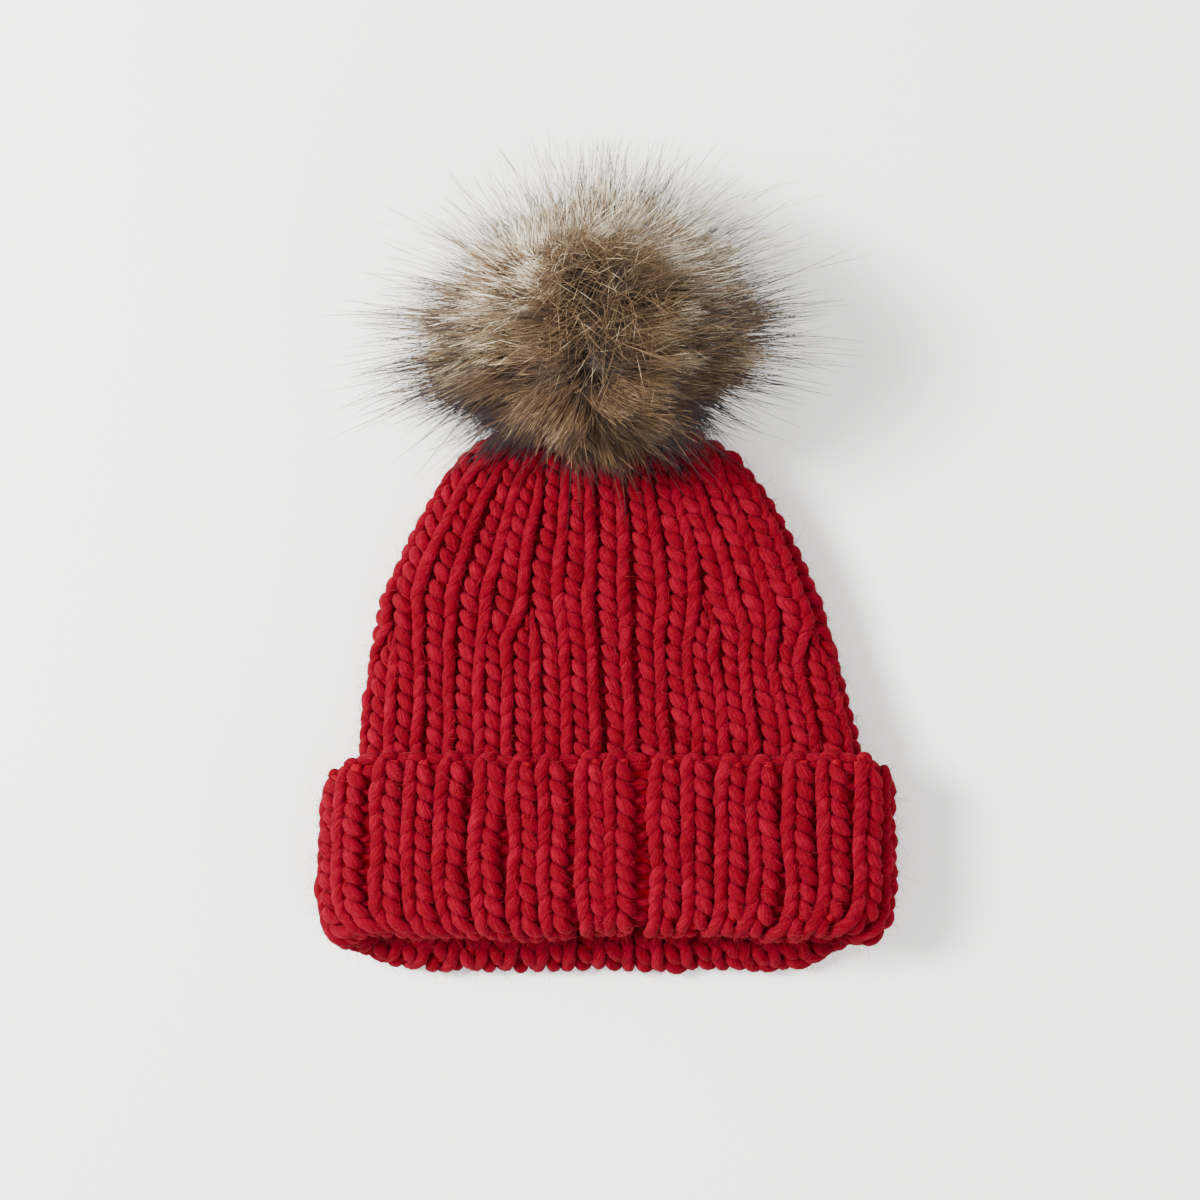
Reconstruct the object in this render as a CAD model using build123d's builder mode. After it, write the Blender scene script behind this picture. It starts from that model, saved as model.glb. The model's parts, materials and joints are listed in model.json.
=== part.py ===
from build123d import *
import os
from math import acos, asin, cos, degrees, radians, sin, sqrt, tan

# Chunky rib-knit beanie with a turned-up cuff and a fur pom on a snap fastener, lying flat on its back.
# Millimetres. +Y runs from the brim to the pom, +Z is up, and it lies on z = 0.
# The origin is at the bottom centre of the whole object's box.

# ---------------------------------------------------------------- driving dimensions
KNIT = 8.0              # one layer of relaxed rib knit
MOUTH_GAP = 12.0        # front and back layers held apart at the brim
CLEARANCE = 0.4         # between the body's hem and the cuff that slides over it
HAT_LENGTH = 220.0      # brim to the gathered crown
CUFF_WIDTH = 232.0
CUFF_DEPTH = 77.0       # fold to top edge
CUFF_RETURN = 30.0      # how far the folded-in knit runs back up inside the cuff
BODY_WIDTH = 202.0      # where the body leaves the cuff
BODY_HEIGHT = 30.0      # both layers and the space between them, above the cuff
FOLD_INSET = 6.0        # how far the fold's rim is rounded in from the cuff's faces
BRIM_TILT = 16.5        # the back of the brim reaches further than the front, degrees
CROWN_SHIFT = -3.5      # the crown lies this far to one side
REST_SINK = 0.3         # the cuff's underside is pressed flat by this much

GATHER_RADIUS = 6.0     # loop of yarn drawn through the last round of stitches
YARN_RADIUS = 1.5
KNOT_RADIUS = 2.1       # thread knot that the pom pivots on
KNOT_TURNS = (1.1, 2.7) # its two crossing turns of thread: radius, and reach from the middle
ANCHOR_RADIUS = 1.6     # thread from the knot to the backing button
BUTTON_RADIUS = 5.2
BUTTON_AT = -13.0
BUTTON_THICK = 2.0

FUR_RADIUS = 72.0       # pile, across the snap's axis
FUR_HALF_DEPTH = 54.0   # pile, along the snap's axis
FUR_BASE = -38.0        # flat parting of the pile round the snap, from the pom's middle
BALL_RADIUS = 38.0      # skin of the stuffed ball under the pile
SKIN = 1.5
POM_REACH = 52.0        # crown to the pom's middle
POM_TILT = 51.7         # the snap's axis, above the horizontal, degrees
ANCHOR_TILT = 27.0      # the shank's thread inside the crown, degrees

# ---------------------------------------------------------------- derived places
POM_AXIS = Vector(0, cos(radians(POM_TILT)), sin(radians(POM_TILT)))
ANCHOR_AXIS = Vector(0, cos(radians(ANCHOR_TILT)), sin(radians(ANCHOR_TILT)))
POM_HALF_Y = sqrt((FUR_RADIUS * POM_AXIS.Z) ** 2 + (FUR_HALF_DEPTH * POM_AXIS.Y) ** 2)
POM_HALF_Z = sqrt((FUR_RADIUS * POM_AXIS.Y) ** 2 + (FUR_HALF_DEPTH * POM_AXIS.Z) ** 2)
OVERALL = HAT_LENGTH + POM_REACH * POM_AXIS.Y + POM_HALF_Y
BRIM_Y = -OVERALL / 2
CROWN = Vector(CROWN_SHIFT, BRIM_Y + HAT_LENGTH, POM_HALF_Z - POM_REACH * POM_AXIS.Z)

CUFF_HEIGHT = 4 * KNIT + MOUTH_GAP
CUFF_Z = CUFF_HEIGHT / 2 - REST_SINK
BODY_Z = BODY_HEIGHT / 2
TILT_RISE = (CUFF_HEIGHT / 2 - FOLD_INSET) * tan(radians(BRIM_TILT))
FOLD_Y = BRIM_Y + TILT_RISE
CUFF_TOP_Y = FOLD_Y + CUFF_DEPTH
HEM_Y = FOLD_Y + CUFF_RETURN
POCKET_HEIGHT = CUFF_HEIGHT - 2 * KNIT + 2 * CLEARANCE
POCKET_WIDTH = BODY_WIDTH + 2 * CLEARANCE
HEM_HEIGHT = POCKET_HEIGHT - 2 * CLEARANCE

os.makedirs("parts", exist_ok=True)


def across(y, z, tilt=0.0, x=0.0):
    """A plane across the knitted tube; a positive tilt leans its top towards the brim."""
    return Plane(origin=(x, y, z), x_dir=(1, 0, 0), z_dir=(0, cos(radians(tilt)), sin(radians(tilt))))


def drift(y):
    """How far the tube's middle has moved sideways at y, from the cuff's top to the crown."""
    return CROWN_SHIFT * min(1.0, max(0.0, (y - CUFF_TOP_Y) / (CROWN.Y - CUFF_TOP_Y)))


def along(axis, origin=CROWN):
    """A plane holding an axis: its own x is the radius and its own y runs up the axis."""
    return Plane(origin=origin, x_dir=(1, 0, 0), z_dir=(0, -axis.Z, axis.Y))


POM_PROFILE = along(POM_AXIS)
ANCHOR_PROFILE = along(ANCHOR_AXIS)
POM_LINE = Axis(CROWN, POM_AXIS)
ANCHOR_LINE = Axis(CROWN, ANCHOR_AXIS)


# ---------------------------------------------------------------- the knitted hat
# Stations from the hem to the crown: distance short of the crown, width, height, middle, tilt
BODY_STATIONS = [
    (CROWN.Y - CUFF_TOP_Y, BODY_WIDTH, HEM_HEIGHT, CUFF_Z, -BRIM_TILT),
    (122, 199, 29, 20.5, -10),
    (104, 192, BODY_HEIGHT, 17, -4),
    (86, 183, BODY_HEIGHT, BODY_Z, 0),
    (66, 169, BODY_HEIGHT, BODY_Z, 0),
    (46, 151, BODY_HEIGHT, BODY_Z, 0),
    (30, 133, BODY_HEIGHT, BODY_Z, 0),
    (18, 114, 29, BODY_Z, 6),
    (9, 88, 25, BODY_Z, 14),
    (3, 56, 20, 16.5, 22),
    (0, 30, 16, CROWN.Z - 1.5, ANCHOR_TILT),
]
CAVITY_END = (8, 56, 10, BODY_Z + 0.5, 14)

with BuildPart() as knit_body:
    with BuildSketch(across(HEM_Y + CLEARANCE, CUFF_Z, -BRIM_TILT)):
        SlotOverall(BODY_WIDTH, HEM_HEIGHT / cos(radians(BRIM_TILT)))
    for short, width, height, z, tilt in BODY_STATIONS:
        with BuildSketch(across(CROWN.Y - short, z, tilt, drift(CROWN.Y - short))):
            SlotOverall(width, height / cos(radians(tilt)))
    loft(ruled=True)
    with BuildSketch(across(HEM_Y - CLEARANCE, CUFF_Z, -BRIM_TILT)):
        SlotOverall(BODY_WIDTH - 2 * KNIT, (HEM_HEIGHT - 2 * KNIT) / cos(radians(BRIM_TILT)))
    for short, width, height, z, tilt in BODY_STATIONS[:-3]:
        with BuildSketch(across(CROWN.Y - short, z, tilt, drift(CROWN.Y - short))):
            SlotOverall(width - 2 * KNIT, (height - 2 * KNIT) / cos(radians(tilt)))
    with BuildSketch(across(CROWN.Y - CAVITY_END[0], CAVITY_END[3], CAVITY_END[4], drift(CROWN.Y))):
        SlotOverall(CAVITY_END[1], CAVITY_END[2])
    loft(ruled=True, mode=Mode.SUBTRACT)
    with BuildSketch(ANCHOR_PROFILE):
        with Locations((GATHER_RADIUS, -0.6)):
            Circle(YARN_RADIUS + 0.1)
    revolve(axis=ANCHOR_LINE, mode=Mode.SUBTRACT)
    with BuildSketch(ANCHOR_PROFILE):
        with Locations((0, -20)):
            Rectangle(ANCHOR_RADIUS + 0.2, 21, align=Align.MIN)
        with Locations((0, -4)):
            Rectangle(KNOT_TURNS[1] + 0.4, 5, align=Align.MIN)
        with Locations((0, BUTTON_AT - 3)):
            Rectangle(BUTTON_RADIUS + 1, 7, align=Align.MIN)
    revolve(axis=ANCHOR_LINE, mode=Mode.SUBTRACT)
knit_body.part.label = "knit_body"

# Stations from the fold to the top edge: distance from the fold, width, height
CUFF_STATIONS = [
    (0, 200, CUFF_HEIGHT - 2 * FOLD_INSET),
    (2.5, 214, CUFF_HEIGHT - 4.6),
    (9, 227, CUFF_HEIGHT),
    (22, CUFF_WIDTH, CUFF_HEIGHT),
    (50, 229, CUFF_HEIGHT),
    (72, 223, CUFF_HEIGHT),
    (CUFF_DEPTH, 218, CUFF_HEIGHT - 3),
]
MOUTH_STATIONS = [
    (-0.5, 193, MOUTH_GAP + 13),
    (2.5, 191, MOUTH_GAP + 5.4),
    (9, 190, MOUTH_GAP),
    (CUFF_RETURN + 1, BODY_WIDTH - 2 * KNIT, MOUTH_GAP),
]

with BuildPart() as turn_up_cuff:
    for from_fold, width, height in CUFF_STATIONS:
        with BuildSketch(across(FOLD_Y + from_fold, CUFF_Z, -BRIM_TILT)):
            SlotOverall(width, height / cos(radians(BRIM_TILT)))
    loft(ruled=True)
    for from_fold, width, height in MOUTH_STATIONS:
        with BuildSketch(across(FOLD_Y + from_fold, CUFF_Z, -BRIM_TILT)):
            SlotOverall(width, height / cos(radians(BRIM_TILT)))
    loft(ruled=True, mode=Mode.SUBTRACT)
    for from_fold in (CUFF_RETURN, CUFF_DEPTH + 1):
        with BuildSketch(across(FOLD_Y + from_fold, CUFF_Z, -BRIM_TILT)):
            SlotOverall(POCKET_WIDTH, POCKET_HEIGHT / cos(radians(BRIM_TILT)))
    loft(ruled=True, mode=Mode.SUBTRACT)
    split(bisect_by=Plane.XY, keep=Keep.TOP)
turn_up_cuff.part.label = "turn_up_cuff"


# ---------------------------------------------------------------- the gathered crown
with BuildPart() as gather_yarn:
    with BuildSketch(ANCHOR_PROFILE):
        with Locations((GATHER_RADIUS, -0.6)):
            Circle(YARN_RADIUS)
    revolve(axis=ANCHOR_LINE)
gather_yarn.part.label = "gather_yarn"

with BuildPart() as backing_button:
    with BuildSketch(ANCHOR_PROFILE):
        with Locations((ANCHOR_RADIUS + 0.1, BUTTON_AT)):
            Rectangle(BUTTON_RADIUS - ANCHOR_RADIUS - 0.1, BUTTON_THICK, align=Align.MIN)
        with Locations((BUTTON_RADIUS - 0.9, BUTTON_AT + BUTTON_THICK / 2)):
            Ellipse(0.9, BUTTON_THICK / 2 + 0.4)
    revolve(axis=ANCHOR_LINE)
backing_button.part.label = "backing_button"

with BuildPart() as anchor_thread:
    with BuildSketch(ANCHOR_PROFILE):
        with Locations((0, BUTTON_AT - 1.2)):
            Rectangle(ANCHOR_RADIUS, 11.2, align=Align.MIN)
        with Locations((0, BUTTON_AT - 1.2)):
            Rectangle(ANCHOR_RADIUS + 1.4, 1.1, align=Align.MIN)
    revolve(axis=ANCHOR_LINE)
anchor_thread.part.label = "anchor_thread"

with BuildPart() as shank_knot:
    with Locations(Location(CROWN)):
        Sphere(KNOT_RADIUS)
        Cylinder(KNOT_TURNS[0], 2 * KNOT_TURNS[1])
        Cylinder(KNOT_TURNS[0], 2 * KNOT_TURNS[1], rotation=(0, 90, 0))
shank_knot.part.label = "shank_knot"


# ---------------------------------------------------------------- care label, blank
LABEL = (26.0, 36.0, 0.7)
LABEL_Y = 2.0
LABEL_FLOOR = KNIT + 0.5
STITCH_RADIUS = 0.5

with BuildPart() as care_label:
    with BuildSketch(Plane.XY.offset(LABEL_FLOOR)):
        with Locations((0, LABEL_Y)):
            RectangleRounded(LABEL[0], LABEL[1], 1.0)
    extrude(amount=LABEL[2])
care_label.part.label = "care_label"

with BuildPart() as label_stitches:
    with BuildSketch(Plane.XY.offset(KNIT - 1.5)):
        with Locations((0, LABEL_Y + LABEL[1] / 2 - 2)):
            with GridLocations(LABEL[0] / 5, 1, 5, 1):
                SlotOverall(3.2, 2 * STITCH_RADIUS)
    extrude(amount=LABEL_FLOOR + LABEL[2] + 0.3 - (KNIT - 1.5))
label_stitches.part.label = "label_stitches"


# ---------------------------------------------------------------- snap fastener
# Heights are along the snap's axis from the crown
COLUMN = (3.0, 7.0)     # wound thread between the knot and the stud
FLANGE_TOP = 8.2
STUD_TOP = 11.7
SOCKET = (8.7, 13.0)
SPRING_AT = 10.2
DISC_TOP = 15.0
DISC_RADIUS = 12.0
RIVET_RADIUS = 1.8
STITCH_RING = 9.4
STITCH_COUNT = 6

with BuildPart() as thread_shank:
    with BuildSketch(POM_PROFILE):
        with BuildLine():
            Polyline((0, COLUMN[0]), (1.2, COLUMN[0]), (1.5, 4.6), (1.4, COLUMN[1]), (0, COLUMN[1]), close=True)
        make_face()
    revolve(axis=POM_LINE)
thread_shank.part.label = "thread_shank"

with BuildPart() as snap_stud:
    with BuildSketch(POM_PROFILE):
        with BuildLine():
            Polyline((0, COLUMN[1]), (5.8, COLUMN[1]), (6.2, 7.4), (5.8, FLANGE_TOP))
            Polyline((5.8, FLANGE_TOP), (2.3, FLANGE_TOP), (2.3, 9.9))
            Line((2.3, 9.9), (2.8, 10.6))
            RadiusArc((2.8, 10.6), (2.2, STUD_TOP), -1.2)
            Line((2.2, STUD_TOP), (0, STUD_TOP))
            Line((0, STUD_TOP), (0, COLUMN[1]))
        make_face()
    revolve(axis=POM_LINE)
snap_stud.part.label = "snap_stud"

with BuildPart() as socket_spring:
    with BuildSketch(POM_PROFILE):
        with Locations((3.75, SPRING_AT)):
            Circle(0.5)
    revolve(axis=POM_LINE, revolution_arc=320)
socket_spring.part.label = "socket_spring"

with BuildPart() as snap_socket:
    with BuildSketch(POM_PROFILE):
        with Locations((0, SOCKET[0])):
            Rectangle(7.5, SOCKET[1] - SOCKET[0], align=Align.MIN)
        with Locations((0, SOCKET[0])):
            Rectangle(3.2, STUD_TOP + 0.3 - SOCKET[0], align=Align.MIN, mode=Mode.SUBTRACT)
        with Locations((0, SPRING_AT - 0.8)):
            Rectangle(4.6, 1.6, align=Align.MIN, mode=Mode.SUBTRACT)
        Rectangle(2 * RIVET_RADIUS + 0.2, 40, mode=Mode.SUBTRACT)
    revolve(axis=POM_LINE)
    fillet(snap_socket.edges().filter_by(GeomType.CIRCLE).sort_by(SortBy.RADIUS)[-2:], 0.8)
snap_socket.part.label = "snap_socket"

with BuildPart() as pom_base_disc:
    with BuildSketch(POM_PROFILE):
        with Locations((RIVET_RADIUS + 0.1, SOCKET[1])):
            Rectangle(DISC_RADIUS - RIVET_RADIUS - 0.1, DISC_TOP - SOCKET[1], align=Align.MIN)
    revolve(axis=POM_LINE)
    with BuildSketch(Plane(origin=CROWN + POM_AXIS * (SOCKET[1] - 1), x_dir=(1, 0, 0), z_dir=POM_AXIS)):
        with PolarLocations(STITCH_RING, STITCH_COUNT):
            Circle(0.8)
    extrude(amount=4, mode=Mode.SUBTRACT)
pom_base_disc.part.label = "pom_base_disc"

with BuildPart() as socket_rivet:
    with BuildSketch(POM_PROFILE):
        with Locations((0, STUD_TOP + 0.4)):
            Rectangle(RIVET_RADIUS, DISC_TOP - STUD_TOP - 0.4, align=Align.MIN)
        with Locations((0, DISC_TOP)):
            Rectangle(4.5, 0.9, align=Align.MIN)
    revolve(axis=POM_LINE)
socket_rivet.part.label = "socket_rivet"


# ---------------------------------------------------------------- the pom
POM_MIDDLE = POM_REACH
SKIN_BASE = DISC_TOP + 0.1


def ball(radius, base):
    """Half the section of a ball round the pom's middle, cut flat at base. Used in a sketch."""
    with Locations((0, POM_MIDDLE)):
        Circle(radius)
    with Locations((0, base)):
        Rectangle(3 * radius, 4 * radius, align=(Align.CENTER, Align.MAX), mode=Mode.SUBTRACT)
    Rectangle(300, 400, align=(Align.MAX, Align.CENTER), mode=Mode.SUBTRACT)


with BuildPart() as pom_backing:
    with BuildSketch(POM_PROFILE):
        ball(BALL_RADIUS, SKIN_BASE)
        with BuildSketch(mode=Mode.SUBTRACT):
            ball(BALL_RADIUS - SKIN, SKIN_BASE + SKIN)
        with Locations((0, SKIN_BASE)):
            Rectangle(6, 2 * SKIN, align=(Align.MIN, Align.CENTER), mode=Mode.SUBTRACT)
    revolve(axis=POM_LINE)
    with BuildSketch(Plane(origin=CROWN + POM_AXIS * (SKIN_BASE - 1), x_dir=(1, 0, 0), z_dir=POM_AXIS)):
        with PolarLocations(STITCH_RING, STITCH_COUNT):
            Circle(0.8)
    extrude(amount=3, mode=Mode.SUBTRACT)
pom_backing.part.label = "pom_backing"

with BuildPart() as pom_drawstring:
    with BuildSketch(POM_PROFILE):
        with Locations((7.4, SKIN_BASE + SKIN + 1.2)):
            Circle(1.1)
    revolve(axis=POM_LINE)
pom_drawstring.part.label = "pom_drawstring"

with BuildPart() as pom_stuffing:
    with BuildSketch(POM_PROFILE):
        ball(BALL_RADIUS - SKIN - 0.2, SKIN_BASE + SKIN + 2.6)
    revolve(axis=POM_LINE)
pom_stuffing.part.label = "pom_stuffing"

with BuildPart() as base_stitches:
    with BuildSketch(Plane(origin=CROWN + POM_AXIS * (SOCKET[1] - 0.5), x_dir=(1, 0, 0), z_dir=POM_AXIS)):
        with PolarLocations(STITCH_RING, STITCH_COUNT):
            Circle(0.6)
    extrude(amount=4.4)
base_stitches.part.label = "base_stitches"

PILE_UNDERSIDE = POM_MIDDLE + FUR_BASE
PILE_HOLE = DISC_RADIUS + 2
PILE_BALL = BALL_RADIUS + 0.3
RIM_ANGLE = degrees(asin(FUR_BASE / FUR_HALF_DEPTH))
HOLE_ANGLE = -degrees(acos(PILE_HOLE / PILE_BALL))


def tip_of_pile(angle):
    """A point on the oval that the pile's tips reach, at an angle from its widest ring."""
    return (FUR_RADIUS * cos(radians(angle)), POM_MIDDLE + FUR_HALF_DEPTH * sin(radians(angle)))


with BuildPart() as pom_fur:
    with BuildSketch(POM_PROFILE):
        with BuildLine():
            tips = Spline(*[tip_of_pile(RIM_ANGLE + (90 - RIM_ANGLE) * i / 8) for i in range(9)])
            roots = CenterArc((0, POM_MIDDLE), PILE_BALL, HOLE_ANGLE, 90 - HOLE_ANGLE)
            Line(tips @ 1, roots @ 1)
            Polyline(roots @ 0, (PILE_HOLE, PILE_UNDERSIDE), tips @ 0)
        make_face()
    revolve(axis=POM_LINE)
pom_fur.part.label = "pom_fur"


# ---------------------------------------------------------------- write the parts
PIECES = [
    knit_body, turn_up_cuff, gather_yarn, backing_button, anchor_thread, shank_knot,
    care_label, label_stitches, thread_shank, snap_stud, socket_spring, snap_socket,
    pom_base_disc, socket_rivet, pom_backing, pom_drawstring, pom_stuffing, base_stitches, pom_fur,
]
for piece in PIECES:
    export_step(piece.part, f"parts/{piece.part.label}.step")
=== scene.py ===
import json
import math

import bmesh
import bpy
import numpy as np
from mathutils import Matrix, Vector


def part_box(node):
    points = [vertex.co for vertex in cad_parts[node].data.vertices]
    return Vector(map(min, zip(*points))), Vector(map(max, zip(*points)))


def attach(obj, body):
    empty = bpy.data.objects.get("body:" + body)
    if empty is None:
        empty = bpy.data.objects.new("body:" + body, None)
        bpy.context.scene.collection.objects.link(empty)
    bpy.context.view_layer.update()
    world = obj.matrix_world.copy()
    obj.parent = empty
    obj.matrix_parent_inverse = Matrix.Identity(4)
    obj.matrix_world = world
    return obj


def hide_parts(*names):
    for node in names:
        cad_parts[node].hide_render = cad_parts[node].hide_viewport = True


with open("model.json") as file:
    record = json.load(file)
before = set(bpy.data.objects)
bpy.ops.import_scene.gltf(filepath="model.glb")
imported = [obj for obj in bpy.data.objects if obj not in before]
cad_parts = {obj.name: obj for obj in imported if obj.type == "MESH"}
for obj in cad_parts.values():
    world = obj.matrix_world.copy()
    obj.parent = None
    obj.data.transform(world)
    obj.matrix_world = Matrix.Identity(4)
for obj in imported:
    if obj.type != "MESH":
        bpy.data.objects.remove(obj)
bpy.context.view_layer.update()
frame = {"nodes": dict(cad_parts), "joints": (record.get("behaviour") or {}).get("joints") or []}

# Pom pom beanie: every stitch is laid on the flattened tube that the CAD gives, and the pom's pile
# grows from the stuffed ball inside it.  Metres; MM turns a size in millimetres into metres.
MM = 0.001
TURN = 6.283                            # radians in a turn, for waves and their phases


# ------------------------ places from the frame
def corners(node):
    low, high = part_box(node)
    return np.array(low, float), np.array(high, float)


CUFF_LOW, CUFF_HIGH = corners("turn_up_cuff")
SKIN_LOW, SKIN_HIGH = corners("pom_backing")
JOINTS = {j["name"]: j for j in frame["joints"]}
CROWN = np.array(JOINTS["pom_lean"]["pos_m"], float)
POM_AXIS = np.array(JOINTS["pom_spin"]["axis"], float)
POM_AXIS /= np.linalg.norm(POM_AXIS)
POM_REACH = 52 * MM                     # crown to the pom's middle, along the snap's axis
POM = CROWN + POM_AXIS * POM_REACH
BALL = (SKIN_HIGH[0] - SKIN_LOW[0]) / 2

HALF = 4 * MM                           # half the thickness of one layer of rib
ON_TABLE = 0.05 * MM                     # nothing reaches lower: what lies on the table is pressed flat
CUFF_TOP = CUFF_HIGH[1]
CUFF_MID = (CUFF_LOW[2] + CUFF_HIGH[2]) / 2
BACK_FOLD = CUFF_LOW[1]
FRONT_FOLD = BACK_FOLD + 15 * MM         # the cuff's front edge lies higher up than its back edge
HEM = corners("knit_body")[0][1] + 4 * MM
ANCHOR_TILT = math.radians(27)          # the gathered end's axis, above the horizontal
YARN = 1.5 * MM                         # radius of the yarn that gathers it


# ------------------------ small maths
def smooth(x):
    x = np.clip(x, 0.0, 1.0)
    return x * x * (3 - 2 * x)


def unit(v):
    return v / np.maximum(np.linalg.norm(v, axis=-1, keepdims=True), 1e-12)


def flat_ring(half_width, half_height, turn):
    """A point on a flattened tube's section. turn is how far round it is, from 0 to 1, starting at
    the middle of the top and going towards +X."""
    flat = half_width - half_height
    arc = math.pi * half_height
    s = np.mod(turn, 1.0) * (4 * flat + 2 * arc)
    right = np.clip((s - flat) / half_height, 0, math.pi)
    left = np.clip((s - 3 * flat - arc) / half_height, 0, math.pi)
    part = [s < flat, s < flat + arc, s < 3 * flat + arc, s < 3 * flat + 2 * arc]
    x = np.select(part, [
        s, flat + half_height * np.sin(right), 2 * flat + arc - s, -flat - half_height * np.sin(left),
    ], s - 4 * flat - 2 * arc)
    z = np.select(part, [
        half_height, half_height * np.cos(right), -half_height, -half_height * np.cos(left),
    ], half_height)
    return x, z


class Cloth:
    """One knitted layer. at(turn, run) is a point of its middle surface: turn goes round the tube
    and run goes along it, in metres. place() adds a height off that surface. out is 1 where the
    run goes towards the brim and -1 where it goes towards the crown. Once its ribs are laid,
    rib_turn() is where a rib lies round the tube and rib_share() is its share of the width."""

    def __init__(self, at, length, around, out):
        self.at = at
        self.length = length
        self.around = around
        self.out = out

    def normal(self, turn, run):
        e_turn, e_run = 0.002, 0.6 * MM
        across = self.at(turn + e_turn, run) - self.at(turn - e_turn, run)
        along = self.at(turn, run + e_run) - self.at(turn, run - e_run)
        return unit(np.cross(along, across)) * self.out

    def place(self, turn, run, height):
        n = self.normal(turn, run)
        return self.at(turn, run) + n * np.asarray(height)[..., None], n

    def lay_ribs(self, count, samples, gaps, ends, seed):
        self.count = count
        self.runs = np.linspace(0, self.length, samples)
        self.turns, self.shares = rib_turns(count, self.runs, gaps, ends, seed)

    def look_up(self, table, rib, run):
        """A rib's value in the table at each run; rib and run may have shapes that broadcast."""
        place = np.clip(run / (self.runs[1] - self.runs[0]), 0, len(self.runs) - 1.001)
        low = place.astype(int)
        part = place - low
        return table[rib, low] * (1 - part) + table[rib, low + 1] * part

    def rib_turn(self, rib, run):
        return self.look_up(self.turns, rib, run)

    def rib_share(self, rib, run):
        return self.look_up(self.shares, rib, run)


# ------------------------ the two layers of the hat
# Half the body's width and the drift of its middle, at distances short of the crown
BODY_SHORT = np.array([0, 3, 9, 18, 30, 48, 72, 96, 128, 150]) * MM
BODY_HALF = np.array([17, 30.4, 46.6, 60.1, 68.2, 78.4, 89.3, 95.6, 101.2, 102.0]) * MM
BODY_DRIFT = np.array([-3.5, -3.2, -2.9, -2.8, -1.9, -1.6, -1.6, -0.5, 1.5, 2.0]) * MM
BODY_MID = 15 * MM                      # how high its middle lies, and half its height
LEAST_HIGH = 7.5 * MM                   # half its height where it is gathered


def body_outline(y):
    """Half width, half height, middle height and sideways drift of the knitted body at y."""
    short = np.clip(CROWN[1] - y, 0, BODY_SHORT[-1])
    wide = np.interp(short, BODY_SHORT, BODY_HALF)
    drift = np.interp(short, BODY_SHORT, BODY_DRIFT)
    t = np.clip((y - CUFF_TOP) / (CROWN[1] - CUFF_TOP), 0, 1)
    high = BODY_MID * (1 - t ** 8) ** 0.5
    under_cuff = smooth((CUFF_TOP - 4 * MM - y) / (8 * MM))
    mid = BODY_MID + (CUFF_MID - BODY_MID) * (1 - smooth((y - CUFF_TOP + 12 * MM) / (62 * MM)))
    mid = mid + (CROWN[2] - 16 * MM) * smooth((t - 0.84) / 0.16)
    return wide, np.maximum(high, LEAST_HIGH) - under_cuff * 0.6 * MM, mid, drift


def body_table():
    """Samples of the body's outline by the distance along it from the hem."""
    bend = np.linspace(0, 1, 1200)
    y = HEM + (CROWN[1] - HEM) * (1 - (1 - bend) ** 2.2)
    wide, high, mid, drift = body_outline(y)
    ease = np.exp(-np.linspace(-2.5, 2.5, 61) ** 2)
    ends = np.pad(wide, 30, mode="reflect", reflect_type="odd")
    wide = np.convolve(ends, ease / ease.sum(), "valid")
    steps = np.sqrt(np.diff(y) ** 2 + (0.6 * np.diff(wide)) ** 2 + (0.4 * np.diff(high)) ** 2)
    run = np.concatenate([[0], np.cumsum(steps)])
    return run, y, wide - HALF, high - HALF, mid, drift


BODY_TABLE = body_table()
RUN_AT, Y_AT = BODY_TABLE[:2]
BODY_RUN = RUN_AT[-1]


def body_at(turn, run):
    y, wide, high, mid, drift = (np.interp(run, RUN_AT, column) for column in BODY_TABLE[1:])
    x, z = flat_ring(wide, high, turn)
    # The upper side swells and dips softly; the lower one lies flat
    soft = np.sin(turn * TURN * 2 + run * 31) + 0.7 * np.sin(turn * TURN * 5 - run * 47 + 1.3)
    swell = 1.1 * MM * smooth((y - CUFF_TOP) / (20 * MM)) * smooth((CROWN[1] - y) / (25 * MM))
    crowned = 1 + 0.05 * np.cos(np.clip(x / np.maximum(wide, 1e-4), -1, 1) * math.pi / 2)
    z = z * np.where(z > 0, crowned, 1.0) + np.where(z > 0, soft * swell * 0.5, 0.0)
    past = np.maximum(run - BODY_RUN, 0)
    return np.stack([x + drift, y + past * 0.9, mid + z + past * 0.2], axis=-1)


def body_around(run):
    wide, high = (np.interp(run, RUN_AT, column) for column in BODY_TABLE[2:4])
    return 4 * (wide - high) + 2 * math.pi * high


BODY = Cloth(body_at, BODY_RUN, body_around, -1)

CUFF_HALF = (CUFF_HIGH[2] - CUFF_LOW[2]) / 2
BEND = 4.2 * MM                          # the knit's middle surface turns this tightly at the fold
CUFF_DOWN = 63.5 * MM                    # top edge to where the fold starts
CUFF_TURN = math.pi * BEND
CUFF_BACK_UP = 44 * MM                   # how far the return runs up inside
SHEAR = (FRONT_FOLD - BACK_FOLD) / (2 * (CUFF_HALF - 2 * HALF))
CUFF_WIDE_AT = np.array([0, 4, 10, 22, 50, 77]) * MM
CUFF_WIDE = np.array([108.3, 112.4, 115.4, 117.0, 115.8, 114.2]) * MM
CUFF_SIDE = 112 * MM                     # the half width that its edges' shapes are drawn to
CUFF_DRIFT = 0.7 * MM
CUFF_CORNER = 1.4 * MM                  # how far the top right corner stands out past the rest
CUFF_INSIDE = 98 * MM                    # the return's half width, so that it clears the body
BACK_SAGS = ((1.3, -66, 26), (2.1, 18, 38))   # depth, middle and width of each, in millimetres


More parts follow.
